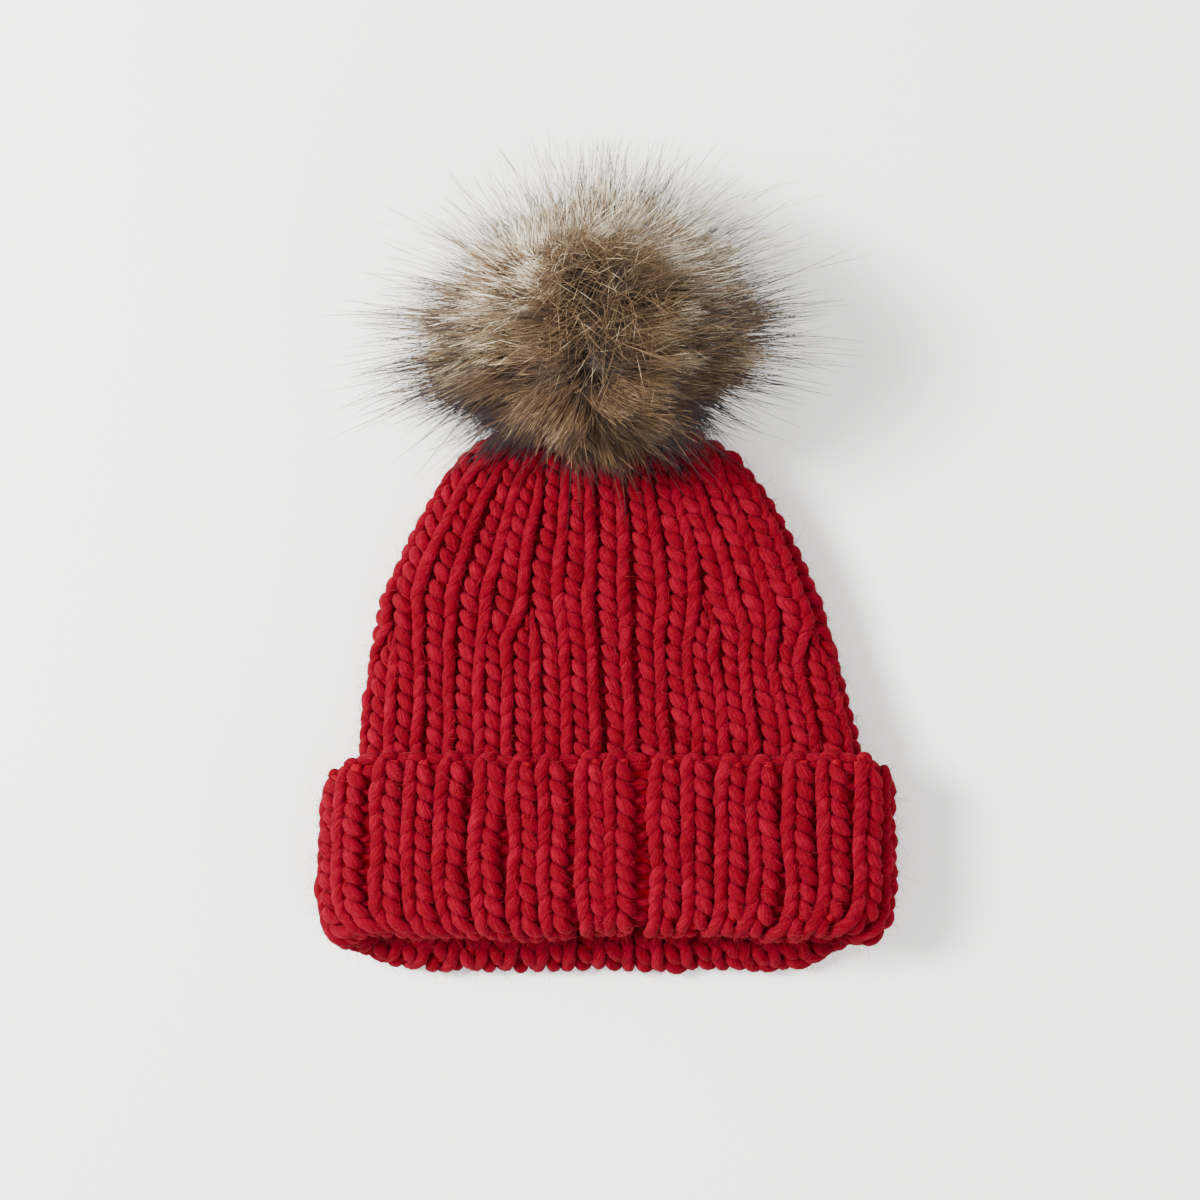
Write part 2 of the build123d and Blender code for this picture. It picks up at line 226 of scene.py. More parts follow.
def cuff_at(turn, run):
    phi = np.clip((run - CUFF_DOWN) / BEND, 0, math.pi)
    depth = HALF + BEND * (1 - np.cos(phi))
    fold = BACK_FOLD - 1.5 * MM + HALF + BEND
    y = fold + np.where(run < CUFF_DOWN, CUFF_DOWN - run, -BEND * np.sin(phi))
    y = y + np.maximum(run - CUFF_DOWN - CUFF_TURN, 0)
    up = y - BACK_FOLD
    wide = np.interp(up, CUFF_WIDE_AT, CUFF_WIDE) - depth
    wide = np.where(phi > math.pi - 1e-6, np.minimum(wide, CUFF_INSIDE), wide)
    high = CUFF_HALF - depth
    x, z = flat_ring(wide, high, turn)
    side = np.abs(x) / CUFF_SIDE
    near_fold = 1 - smooth(up / (45 * MM))
    near_top = smooth((up - 35 * MM) / (40 * MM))
    lowered = np.clip(-z / (CUFF_HALF - 2 * HALF), 0, 1)
    # The front fold lies higher up than the back one
    y = y + SHEAR * (z + CUFF_HALF - 2 * HALF)
    # The back fold's corners curl up, the top's corners droop, and the right corner curls up
    y = y + 16 * MM * np.abs((x + 6 * MM) / CUFF_SIDE) ** 8 * lowered * near_fold
    y = y - np.where(x > 0, 0.8, 2.2) * MM * side ** 4 * near_top
    y = y + 3 * MM * np.maximum(x / CUFF_SIDE, 0) ** 8 * near_fold
    # The back fold sags in two places
    for depth_there, middle, width in BACK_SAGS:
        y = y - depth_there * MM * np.exp(-((x - middle * MM) / (width * MM)) ** 2) * lowered * near_fold
    # Both edges wave, and the upper side rises and falls
    wave = np.sin(x * 55 + 0.6) + 0.6 * np.sin(x * 131 + 2.0)
    y = y + 0.9 * MM * wave * near_fold + 0.8 * MM * np.sin(x * 70 + 1.0) * near_top
    z = z + np.where(z > 0, 0.5 * MM * np.sin(x * 60 + run * 45), 0.0)
    out = x + CUFF_DRIFT + CUFF_CORNER * np.maximum(x / CUFF_SIDE, 0) * smooth((up - 50 * MM) / (20 * MM))
    return np.stack([out, y, CUFF_MID + z], axis=-1)


CUFF_AROUND = 4 * (CUFF_SIDE - CUFF_HALF) + 2 * math.pi * (CUFF_HALF - HALF)
CUFF_RUN = CUFF_DOWN + CUFF_TURN + CUFF_BACK_UP
CUFF = Cloth(cuff_at, CUFF_RUN, lambda run: CUFF_AROUND, 1)


# ------------------------ meshes from arrays
def in_scene(name, data):
    thing = bpy.data.objects.new(name, data)
    bpy.context.scene.collection.objects.link(thing)
    return thing


def new_object(name, body, materials, vertices, loops, starts):
    mesh = bpy.data.meshes.new(name)
    mesh.vertices.add(len(vertices))
    mesh.vertices.foreach_set("co", np.ascontiguousarray(vertices, np.float32).ravel())
    mesh.loops.add(len(loops))
    mesh.loops.foreach_set("vertex_index", np.ascontiguousarray(loops, np.int32))
    mesh.polygons.add(len(starts))
    mesh.polygons.foreach_set("loop_start", np.ascontiguousarray(starts, np.int32))
    for material in materials:
        mesh.materials.append(material)
    mesh.update(calc_edges=True)
    mesh.polygons.foreach_set("use_smooth", np.full(len(starts), True))
    piece = in_scene(name, mesh)
    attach(piece, body)
    return piece


def tube_arrays(centres, normals, radii, sides, grooves, lay):
    """Closed tubes along many centre lines at once. centres and normals are (n, k, 3); radii is
    (n, k, 2), across the surface and off it. grooves cuts two plies that twist by lay a metre."""
    n, k = centres.shape[:2]
    tangent = unit(np.gradient(centres, axis=1))
    across = unit(np.cross(tangent, normals))
    upward = np.cross(across, tangent)
    theta = np.arange(sides) * (2 * math.pi / sides)
    step = np.linalg.norm(np.diff(centres, axis=1), axis=-1)
    length = np.concatenate([np.zeros((n, 1)), np.cumsum(step, axis=1)], axis=1)
    ripple = 1 - grooves * (0.5 + 0.5 * np.cos(2 * (theta - lay * length[..., None])))
    aside = (np.cos(theta) * ripple * radii[..., :1])[..., None]
    off = (np.sin(theta) * ripple * radii[..., 1:])[..., None]
    points = centres[:, :, None] + aside * across[:, :, None] + off * upward[:, :, None]
    points[..., 2] = np.maximum(points[..., 2], ON_TABLE)

    ring = np.arange(sides)
    here = ring + sides * np.arange(k)[:, None]
    after = (ring + 1) % sides + sides * np.arange(k)[:, None]
    quads = np.stack([here[:-1], after[:-1], after[1:], here[1:]], axis=-1).reshape(-1)
    one = np.concatenate([quads, ring[::-1], ring + sides * (k - 1)])
    loops = (one + (np.arange(n) * sides * k)[:, None]).reshape(-1)
    sizes = np.concatenate([np.full((k - 1) * sides, 4), [sides, sides]])
    starts = np.concatenate([[0], np.cumsum(np.tile(sizes, n))[:-1]])

    shape = (k - 1, sides, 4)
    u = np.broadcast_to(np.stack([ring, ring + 1, ring + 1, ring], axis=-1) / sides, shape).reshape(-1)
    step_at = np.broadcast_to(np.array([0, 0, 1, 1]) + np.arange(k - 1)[:, None, None], shape).reshape(-1)
    v_at = np.concatenate([step_at, np.zeros(sides, int), np.full(sides, k - 1)])
    u_all = np.tile(np.concatenate([u, ring / sides, ring / sides]), n)
    v_all = length[:, v_at].reshape(-1)
    return points.reshape(-1, 3), loops, starts, u_all, v_all


def set_uv(piece, u, v):
    layer = piece.data.uv_layers.new(name="yarn")
    layer.data.foreach_set("uv", np.stack([u, v], axis=-1).astype(np.float32).ravel())


def yarn_piece(name, body, material, centres, normals, radii, sides, grooves, lay, tone_seed):
    """One mesh of many tubes, each with its own tone and its own place along the yarn's pattern."""
    draw = np.random.default_rng(tone_seed)
    points, loops, starts, u, v = tube_arrays(centres, normals, radii, sides, grooves, lay)
    shift = np.repeat(draw.random(len(centres)) * 0.5, len(loops) // len(centres))
    tones = np.repeat(draw.random(len(centres)), len(points) // len(centres))
    piece = new_object(name, body, [material], points, loops, starts)
    set_uv(piece, u, v + shift)
    tone = piece.data.attributes.new("tone", "FLOAT", "POINT")
    tone.data.foreach_set("value", tones.astype(np.float32))
    return piece


# ------------------------ materials
def node_material(name):
    material = bpy.data.materials.new(name)
    material.use_nodes = True
    nodes = material.node_tree.nodes
    return material, nodes, material.node_tree.links, nodes["Principled BSDF"]


def settle(node, **values):
    """Sets sockets by name, where an underscore stands for a space."""
    for socket, value in values.items():
        node.inputs[socket.replace("_", " ")].default_value = value


def linear(r, g, b):
    """sRGB 0-255 to linear."""
    return tuple((c / 255 / 12.92) if c <= 10 else ((c / 255 + 0.055) / 1.055) ** 2.4 for c in (r, g, b))


def noise_of(nodes, links, vector, scale, detail):
    noise = nodes.new("ShaderNodeTexNoise")
    settle(noise, Scale=scale, Detail=detail)
    links.new(vector, noise.inputs["Vector"])
    return noise.outputs[0]


def raised(nodes, links, shader, height, strength, distance):
    bump = nodes.new("ShaderNodeBump")
    settle(bump, Strength=strength, Distance=distance)
    links.new(height, bump.inputs["Height"])
    links.new(bump.outputs[0], shader.inputs["Normal"])


def toned(nodes, links, shader, value, stops):
    """Colours the surface by a ramp over a value."""
    ramp = nodes.new("ShaderNodeValToRGB")
    elements = ramp.color_ramp.elements
    while len(elements) < len(stops):
        elements.new(0.5)
    for element, (place, colour) in zip(elements, stops):
        element.position = place
        element.color = (*colour, 1)
    links.new(value, ramp.inputs[0])
    links.new(ramp.outputs[0], shader.inputs["Base Color"])


def maths(nodes, links, operation, a, b):
    node = nodes.new("ShaderNodeMath")
    node.operation = operation
    for socket, value in zip(node.inputs, (a, b)):
        if isinstance(value, (int, float)):
            socket.default_value = value
        else:
            links.new(value, socket)
    return node.outputs[0]


def wool(name, dark, mid, light):
    """Soft plied yarn: fibres that run along it with a twist, slubs, and a little sheen."""
    material, nodes, links, shader = node_material(name)
    uv = nodes.new("ShaderNodeUVMap")
    uv.uv_map = "yarn"
    parts = nodes.new("ShaderNodeSeparateXYZ")
    links.new(uv.outputs[0], parts.inputs[0])
    twisted = maths(nodes, links, "MULTIPLY", parts.outputs[1], 34.0)
    twisted = maths(nodes, links, "ADD", parts.outputs[0], twisted)
    fibres = nodes.new("ShaderNodeCombineXYZ")
    links.new(maths(nodes, links, "MULTIPLY", twisted, 24.0), fibres.inputs[0])
    links.new(maths(nodes, links, "MULTIPLY", parts.outputs[1], 150.0), fibres.inputs[1])
    streaks = noise_of(nodes, links, fibres.outputs[0], 1.0, 4)
    settle(streaks.node, Roughness=0.6)
    place = nodes.new("ShaderNodeTexCoord").outputs["Object"]
    patches = noise_of(nodes, links, place, 300, 3)
    hair = noise_of(nodes, links, place, 2100, 3)
    tone = nodes.new("ShaderNodeAttribute")
    tone.attribute_name = "tone"
    shade = maths(nodes, links, "MULTIPLY", streaks, 0.60)
    for value, share in ((patches, 0.16), (hair, 0.16), (tone.outputs["Fac"], 0.08)):
        shade = maths(nodes, links, "ADD", shade, maths(nodes, links, "MULTIPLY", value, share))
    toned(nodes, links, shader, shade, [(0.37, dark), (0.49, mid), (0.62, light)])
    fine = maths(nodes, links, "MULTIPLY", hair, 0.5)
    raised(nodes, links, shader, maths(nodes, links, "ADD", streaks, fine), 1.0, 0.9 * MM)
    settle(shader, Roughness=0.92, Specular_IOR_Level=0.04, Sheen_Weight=0.03, Sheen_Roughness=0.5,
           Sheen_Tint=(1.0, 0.2, 0.25, 1), Subsurface_Weight=0.30,
           Subsurface_Radius=(1.0, 0.12, 0.14), Subsurface_Scale=2.5 * MM)
    return material


RED = wool("red_wool_yarn", linear(82, 0, 10), linear(94, 0, 16), linear(116, 4, 28))
# Paler than the knit's own red: painted light on the recessed cores and inner sheets, where shade falls
# between the ribs.
GAP_RED_PAINTED_LIGHT = wool("red_wool_ground_painted_light", linear(100, 0, 13), linear(116, 2, 20), linear(128, 5, 26))


def grained(name, dark, light, roughness, metallic, grain, depth):
    """A material whose tone and surface follow a noise stretched by grain, in cells a metre."""
    material, nodes, links, shader = node_material(name)
    place = nodes.new("ShaderNodeTexCoord")
    stretch = nodes.new("ShaderNodeMapping")
    settle(stretch, Scale=grain)
    links.new(place.outputs["Object"], stretch.inputs["Vector"])
    noise = noise_of(nodes, links, stretch.outputs[0], 1.0, 4)
    toned(nodes, links, shader, noise, [(0.35, dark), (0.65, light)])
    raised(nodes, links, shader, noise, 0.6, depth * MM)
    rough = maths(nodes, links, "MULTIPLY", noise, 0.2)
    links.new(maths(nodes, links, "ADD", rough, roughness - 0.1), shader.inputs["Roughness"])
    settle(shader, Metallic=metallic)
    return material


# ------------------------ stitches
ROW = 6.6                                # one row of stitches, in millimetres
STITCH = ROW * MM
RIB = 12.6 * MM                          # knit rib and the recess beside it, at the gauge drawn
NARROWEST = 0.33                         # a rib whose share of the width is less has no stitch
K_LEG = 11


def leg(foot, lean, start, stretch, low, rise, arched, thin, gain, plump):
    """Half a stitch as a tube. In millimetres: its foot beside the rib's middle and how far it leans
    across; its height at the ends and its rise; its radius at the ends and its gain. In rows: where
    it starts and how far it runs. arched and plump are the powers of its two arches."""
    s = np.linspace(0, 1, K_LEG)
    arch = np.sin(math.pi * s)
    return ((foot + lean * s) * MM, ROW * (start + stretch * s) * MM,
            (low + rise * arch ** arched) * MM, (thin + gain * arch ** plump) * MM)


# The leg that leans across the yarn's twist shows as a separate plump bead, and the one that leans
# with it runs smoothly into the next
BEAD_LEG = leg(0.6, -6.8, -0.11, 1.20, -2.8, 4.1, 0.7, 0.45, 2.3, 0.5)
ROPE_LEG = leg(1.9, 2.1, -0.45, 1.76, -1.1, 2.3, 0.55, 0.75, 1.8, 0.4)


def rib_turns(count, runs, gaps, ends, seed):
    """Where each rib lies round the tube at each run, and its share of the width. gaps are wider
    recesses (turn, extra); ends are ribs that narrow away at a decrease (rib, run)."""
    draw = np.random.default_rng(seed)
    slow = np.ones((count, len(runs)))
    share = np.ones((count, len(runs)))
    beside = np.zeros((count, 1))
    for rib, where in ends:
        slow[rib] = 1 - smooth((runs - where + 34 * MM) / (60 * MM))
        share[rib] = 1 - smooth((runs - where + 15 * MM) / (18 * MM))
        away = np.abs((np.arange(count) - rib + count / 2) % count - count / 2)
        beside = np.maximum(beside, np.exp(-(away / 1.1) ** 2)[:, None])
    slow = np.maximum(slow, 1e-4)
    share = np.maximum(share, 1e-4)
    total = share.sum(axis=0)
    turn = (np.cumsum(slow, axis=0) - slow / 2) / slow.sum(axis=0)
    turn = turn + (0.75 * beside) * ((np.cumsum(share, axis=0) - share / 2) / total - turn)
    turn = turn + draw.normal(0, 0.035, (count, 1)) / count
    for k in range(3):
        phase = draw.random((count, 1)) * TURN
        turn = turn + 0.03 / count * np.sin(runs[None] * (60 + 55 * k) + phase)
    for centre, extra in gaps:
        off = np.mod(turn - centre + 0.5, 1) - 0.5
        turn = turn + extra * np.sign(off) * np.exp(-np.abs(off) / 0.045)
    return turn, share / total * count


def knit(cloth, first, last, flip, seed):
    """Every visible leg and the recessed purl loops between ribs, as tube centre lines.
    flip turns the V of each stitch the other way up."""
    draw = np.random.default_rng(seed)
    count = cloth.count
    rows = int((last - first) / STITCH)
    rib, row = np.meshgrid(np.arange(count), np.arange(rows), indexing="ij")
    rib, row = rib.ravel(), row.ravel()
    slip = draw.normal(0, 0.12, count)
    start = first + (row + 0.5 + slip[rib] + draw.normal(0, 0.035, len(rib))) * STITCH
    sign = -1.0 if flip else 1.0
    pieces = []
    keep = (cloth.rib_share(rib, start) > NARROWEST) & (start > first - STITCH) & (start < last)
    rib, start = rib[keep, None], start[keep, None]
    n = len(rib)
    for across, along, height, radius in (BEAD_LEG, ROPE_LEG):
        plump = draw.normal(1.0, 0.055, (n, 1))
        tilt = draw.normal(0, 0.35 * MM, (n, 1))
        run = np.clip(start + along, 0, cloth.length + 4 * MM)
        gauge = np.clip(cloth.around(run) / count * cloth.rib_share(rib, run) / RIB, 0.3, 1.12)
        shift = sign * (across + tilt * np.linspace(-1, 1, K_LEG)) * gauge
        turn = cloth.rib_turn(rib, run) + shift / cloth.around(run)
        lift = height * (0.55 + 0.45 * gauge) + draw.normal(0, 0.25 * MM, (n, 1))
        centres, normals = cloth.place(turn, run, lift)
        thick = radius * plump * np.clip(gauge, 0.42, 1.05)
        radii = np.stack([thick, thick * 0.96], axis=-1)
        pieces.append((centres, normals, radii, 12, 0.07, 260.0))
    # purl loops: humps and hollows of yarn from one rib to the next, low in the recess
    s = np.linspace(-1, 1, 7)
    for bow, drop in ((1.0, 0.0), (-1.0, 0.5)):
        wander = draw.normal(0, 0.7 * MM, (n, 1)) + draw.normal(0, 0.5 * MM, (n, 1)) * s
        run = start + STITCH * (drop + bow * 0.36 * (1 - s ** 2)) + wander
        run = np.clip(run, 0, cloth.length + 3 * MM)
        here = cloth.rib_turn(rib, run)
        gap = cloth.rib_turn((rib + 1) % count, run) + (rib + 1 >= count) - here
        aside = draw.normal(0, 0.4 * MM, (n, 1)) / cloth.around(run)
        turn = here + gap * (0.5 + 0.26 * s) + aside
        lift = (-2.7 - 0.9 * s ** 2) * MM + draw.normal(0, 0.35 * MM, (n, 1))
        centres, normals = cloth.place(turn, run, lift)
        thick = np.broadcast_to((1.0 - 0.5 * s ** 4) * 2.0 * MM, run.shape)
        pieces.append((centres, normals, np.stack([thick, thick], -1), 8, 0.08, 300.0))
    return pieces


def cores(cloth, first, last):
    """The hidden part of every rib's loops: one soft tube under each rib, so no gap is black."""
    rib = np.arange(cloth.count)[:, None]
    run = np.linspace(first, last, 70) + np.zeros(rib.shape)
    gauge = np.clip(cloth.rib_share(rib, run), 0.02, 1.0)
    turn = cloth.rib_turn(rib, run)
    pieces = []
    for aside in (-2.2 * MM, 2.2 * MM):
        centres, normals = cloth.place(turn + aside * gauge / cloth.around(run), run, -1.5 * MM)
        radius = 2.5 * MM * gauge
        pieces.append((centres, normals, np.stack([radius, radius], -1), 8, 0.0, 0.0))
    return pieces


# The middle of each edge stitch in its rib, its reach in ribs, its rise, its height in the middle
# and at its ends, and its thickness, in millimetres: one caps the rib and one crosses the recess
EDGE_STITCHES = (
    (0, 0.20, 1.6, -0.4, -1.9, 2.3),
    (0.5, 0.40, 0.4, -2.5, -2.5, 2.2),
)


def edge_loops(cloth, run_at, outward, seed):
    """The looped cast-on edge: an arch over every rib, and a lower stitch across every recess."""
    draw = np.random.default_rng(seed)
    s = np.linspace(-1, 1, 9)
    rib = np.arange(cloth.count)[:, None]
    pieces = []
    for centre_at, reach, rise, high, low, thick in EDGE_STITCHES:
        run = run_at + outward * (1 - s ** 2) * rise * MM + draw.normal(0, 0.3 * MM, rib.shape)
        run = np.maximum(run, -3 * MM)
        turn = cloth.rib_turn(rib, np.maximum(run, 0)) + (centre_at + reach * s) / cloth.count
        lift = (low + (high - low) * (1 - s ** 2)) * MM
        centres, normals = cloth.place(turn, run, lift)
        radius = thick * (1 - 0.35 * s ** 4) * MM * draw.normal(1, 0.06, rib.shape)
        pieces.append((centres, normals, np.stack([radius, radius], -1), 10, 0.10, 300.0))
    return pieces


def ground(name, body, cloth, first, last, thick):
    """The inner face of a layer: one continuous closed sheet, ribbed like the knit, which keeps
    light from showing between the stitches."""
    ribs, drop = cloth.count, 2.6 * MM
    rows, cols = 90, 8 * ribs
    turn, run = np.meshgrid(np.arange(cols) / cols, np.linspace(first, last, rows), indexing="ij")
    wave = 0.45 * MM * np.cos(turn * ribs * 2 * math.pi) + 0.2 * MM * np.cos(run / STITCH * TURN)
    outer, _ = cloth.place(turn, run, -drop + wave)
    inner, _ = cloth.place(turn, run, -drop - thick + wave)
    points = np.concatenate([outer.reshape(-1, 3), inner.reshape(-1, 3)])
    i, j = np.meshgrid(np.arange(cols), np.arange(rows - 1), indexing="ij")
    a, b = i * rows + j, ((i + 1) % cols) * rows + j
    skin = np.stack([a, b, b + 1, a + 1], -1).reshape(-1, 4)
    other = skin[:, ::-1] + cols * rows
    edge = np.arange(cols)
    e0, e1 = edge * rows, ((edge + 1) % cols) * rows
    low = np.stack([e1, e0, e0 + cols * rows, e1 + cols * rows], -1)
    f0, f1 = e0 + rows - 1, e1 + rows - 1
    high = np.stack([f0, f1, f1 + cols * rows, f0 + cols * rows], -1)
    faces = np.concatenate([skin, other, low, high])
    # The sheet takes the paler red, which is painted light in the recesses between the stitches.
    piece = new_object(name, body, [GAP_RED_PAINTED_LIGHT], points, faces.ravel(), np.arange(len(faces)) * 4)
    corner = faces.ravel() % (cols * rows)
    set_uv(piece, turn.ravel()[corner] * 40, run.ravel()[corner])
    return piece


# The body: 34 ribs at the cuff, 8 of them decreased away halfway up and half the rest by the crown
BODY_RIBS = 34
half_way = float(np.interp(CUFF_TOP + 56 * MM, Y_AT, RUN_AT))
near_crown = float(np.interp(CROWN[1] - 14 * MM, Y_AT, RUN_AT))
first_round = [(31, 0), (3, 3), (7, -10), (26, -8), (11, 0), (15, 5), (19, -3), (23, 2)]
ends = [(rib, half_way + late * MM) for rib, late in first_round]
left = [rib for rib in range(BODY_RIBS) if rib not in {r for r, _ in first_round}]
ends += [(rib, near_crown + 3 * MM * math.sin(rib)) for rib in left[1::2]]
BODY.lay_ribs(BODY_RIBS, 400, [(0.0, 0.0035), (1 / BODY_RIBS, 0.0065)], ends, 3)
body_yarn = knit(BODY, 0.0, BODY_RUN + 1 * MM, False, 5)

CUFF_RIBS = 36
CUFF.lay_ribs(CUFF_RIBS, 300, [(1 / CUFF_RIBS, 0.0060), (-1 / CUFF_RIBS, 0.0015)], [], 8)
cuff_yarn = knit(CUFF, 1.5 * MM, CUFF_RUN, True, 9)
cuff_edge = edge_loops(CUFF, 2.6 * MM, -1.0, 12)
body_core = cores(BODY, 0.5 * MM, BODY_RUN - 4 * MM)
cuff_core = cores(CUFF, 2.5 * MM, CUFF_RUN)


def shared_out(prefix, body, parts, material):
    """Puts tubes into pieces of at most bunch tubes each, so that none is too heavy."""
    bunch = 700
    made = []
    for which, (centres, normals, radii, sides, grooves, lay) in enumerate(parts):
        for n, at in enumerate(range(0, len(centres), bunch)):
            cut = slice(at, at + bunch)
            made.append(yarn_piece(
                f"{prefix}_{which + 1}_{n + 1}", body, material, centres[cut], normals[cut], radii[cut],
                sides, grooves, lay, 100 + which * 10 + n,
            ))
    return made


body_pieces = shared_out("body_yarn", "hat", body_yarn, RED)
# The cores take the paler red, which is painted light in the gaps between the ribs.
body_pieces += shared_out("body_core", "hat", body_core, GAP_RED_PAINTED_LIGHT)
cuff_pieces = shared_out("cuff_yarn", "cuff", cuff_yarn, RED)
cuff_pieces += shared_out("cuff_edge", "cuff", cuff_edge, RED)
cuff_pieces += shared_out("cuff_core", "cuff", cuff_core, GAP_RED_PAINTED_LIGHT)
body_ground = ground("body_ground", "hat", BODY, 0.0, BODY_RUN, 1.4 * MM)
cuff_ground = ground("cuff_ground", "cuff", CUFF, 2 * MM, CUFF_RUN, 1.2 * MM)


# ------------------------ fibres
def strands(name, body, materials, line, radius, index):
    """Closed three-sided strands that taper to a point. line is (n, k, 3) and index, (n, k - 1),
    says which of the materials each of their stretches takes."""
    n, k = line.shape[:2]
    tangent = unit(np.gradient(line, axis=1))
    mean = unit(line[:, -1] - line[:, 0])
    aside = unit(np.cross(mean, np.roll(mean, 1, axis=-1) + 0.3))
    across = unit(np.cross(tangent, aside[:, None]))
    upward = np.cross(across, tangent)
    taper = np.linspace(1, 0, k) ** 0.33     # so a strand stays thick until near its tip
    theta = np.arange(3) * (2 * math.pi / 3)
    thick = radius[:, None, None, None] * taper[:-1, None, None]
    ring = np.cos(theta)[:, None] * across[:, :-1, None] + np.sin(theta)[:, None] * upward[:, :-1, None]
    ring = line[:, :-1, None] + thick * ring
    points = np.concatenate([ring.reshape(n, -1, 3), line[:, -1:]], axis=1)
    per = 3 * (k - 1) + 1
    a = np.arange(3) + 3 * np.arange(k - 1)[:, None]
    b = (np.arange(3) + 1) % 3 + 3 * np.arange(k - 1)[:, None]
    sides = np.stack([a[:-1], b[:-1], b[1:], a[1:]], -1).ravel()
    point = np.stack([a[-1], b[-1], np.full(3, per - 1)], -1).ravel()
    loops = np.concatenate([sides, point, [2, 1, 0]])
    sizes = [4] * (3 * (k - 2)) + [3] * 4
    stretch = [*np.repeat(np.arange(k - 1), 3), 0]
    loops = (loops + (np.arange(n) * per)[:, None]).ravel()
    starts = np.concatenate([[0], np.cumsum(np.tile(sizes, n))[:-1]])
    piece = new_object(name, body, materials, points.reshape(-1, 3), loops, starts)
    piece.data.polygons.foreach_set("material_index", index[:, stretch].astype(np.int32).ravel())
    return piece


def strand_pieces(name, body, materials, line, radius, index):
    """The same, as several pieces of at most 180,000 triangles each."""
    bunch = 180000 // (6 * line.shape[1] - 8)
    return [
        strands(f"{name}_{n + 1}", body, materials, line[at:at + bunch], radius[at:at + bunch],
                index[at:at + bunch])
        for n, at in enumerate(range(0, len(line), bunch))
    ]


def plain(name, colour, roughness, specular, sheen):
    """A material of one tone, for strands too thin to show more."""
    material, nodes, links, shader = node_material(name)
    settle(shader, Base_Color=(*colour, 1), Roughness=roughness, Specular_IOR_Level=specular,
           Sheen_Weight=sheen)
    return material


FUZZ = [
    plain(f"wool_fuzz_{n + 1}", linear(*colour), 0.8, 0.05, 0.03)
    for n, colour in enumerate([(104, 2, 16), (130, 14, 30), (84, 0, 10)])
]


def fuzz(name, body, parts, count, low, high, seed):
    """Loose ends of fibre that stand off the yarn, from low to high long."""
    draw = np.random.default_rng(seed)
    lines = []
    k = 4
    sizes = np.array([len(p[0]) for p in parts], float)
    for (centres, normals, radii, *_), share in zip(parts, sizes / sizes.sum()):
        n = max(1, int(count * share))
        tube = draw.integers(0, len(centres), n)
        at = draw.integers(2, centres.shape[1] - 2, n)
        tangent = unit(centres[tube, at + 1] - centres[tube, at - 1])
        up = normals[tube, at]
        across = np.cross(tangent, up)
        turn = draw.uniform(-1.2, 1.2, (n, 1))
        out = unit(up * np.cos(turn) + across * np.sin(turn))
        root = centres[tube, at] + out * radii[tube, at, :1] * 0.96
        way = draw.choice([-1.0, 1.0], (n, 1)) * tangent * draw.uniform(0.3, 1.3, (n, 1))
        heading = unit(way + out * draw.uniform(0.15, 0.8, (n, 1)) + draw.normal(0, 0.45, (n, 3)))
        bend = draw.normal(0, 0.5, (n, 3)) - 0.25 * out
        reach = (low + (high - low) * draw.random((n, 1)) ** 2.0)[:, None]
        t = np.linspace(0, 1, k)[:, None]
        lines.append(root[:, None] + reach * (heading[:, None] * t + bend[:, None] * t * t))
    line = np.concatenate(lines)
    line[..., 2] = np.maximum(line[..., 2], 0.2 * MM)
    radius = draw.uniform(0.045, 0.09, len(line)) * MM
    index = np.repeat(draw.integers(0, len(FUZZ), (len(line), 1)), k - 1, axis=1)
    return strand_pieces(name, body, FUZZ, line, radius, index)


few = 1.0        # the share of the strands that is drawn
body_pieces += fuzz("body_fuzz", "hat", body_yarn[:2], int(24000 * few), 1.5 * MM, 7 * MM, 51)
body_pieces += fuzz("body_loose_fibre", "hat", body_yarn[:2], 40, 9 * MM, 26 * MM, 52)
cuff_pieces += fuzz("cuff_fuzz", "cuff", cuff_yarn[:2] + cuff_edge, int(21000 * few), 1.5 * MM, 7 * MM, 53)
cuff_pieces += fuzz("cuff_loose_fibre", "cuff", cuff_yarn[:2], 30, 9 * MM, 22 * MM, 54)
for piece in [body_ground, *body_pieces]:
    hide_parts("knit_body")
for piece in [cuff_ground, *cuff_pieces]:
    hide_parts("turn_up_cuff")


# ------------------------ the pom's pile
TONES = {
    "root": (20, 13, 8), "brown": (43, 29, 18), "tan": (67, 47, 29), "sand": (104, 83, 57),
    "cream": (168, 150, 122), "pale": (222, 213, 196), "smoke": (48, 34, 34), "tip": (13, 8, 12),
}
SHADES = (0.88, 1.0, 1.13)
FUR = [
    plain(f"fur_{tone}_{n + 1}", [min(1.0, c * shade) for c in linear(*colour)], 0.5, 0.16, 0.02)
    for tone, colour in TONES.items() for n, shade in enumerate(SHADES)
]


def coats(**kinds):
    """Each kind's choice of hairs. A hair is written with its tones' letters from its root: root,
    brown, tan, sand, cream, pale, sMoke, tip's End. light is the far side from the hat, dusky is low
    down at the sides, and deep is round DEEPEST, where the hairs are darkest."""
    return {
        kind: [np.array(["rbtscpme".index(letter) for letter in hair]) for hair in hairs.split()]
        for kind, hairs in kinds.items()
    }


UNDER = coats(
    light="rbtscpp rbtcppp rbtsccp", middle="rbbtssc rbbtscc rbttssc", dark="rbbttss rbttssc rbttssm",
    dusky="rbbttme rbbtttm rbttsmm", deep="rrbttss rrbbtss rrbbtts",
)
GUARD = coats(
    light="btscppe btscpce bbtscme", middle="bttssme bbtscee bttsstm", dark="bbtttme bbtsmee btttsme",
    dusky="bbtmmee bbttmee bttmeee", deep="rbbttsm rrbttst rbbttss",
)
TANGLE = coats(
    light="btsscst bttssst tsscsst", middle="bttsstt bbtscst rbttstb", dark="rbtttbb rrbtstb rbbttbr",
    deep="rbttstb rbtsstb rrbttbb",
)


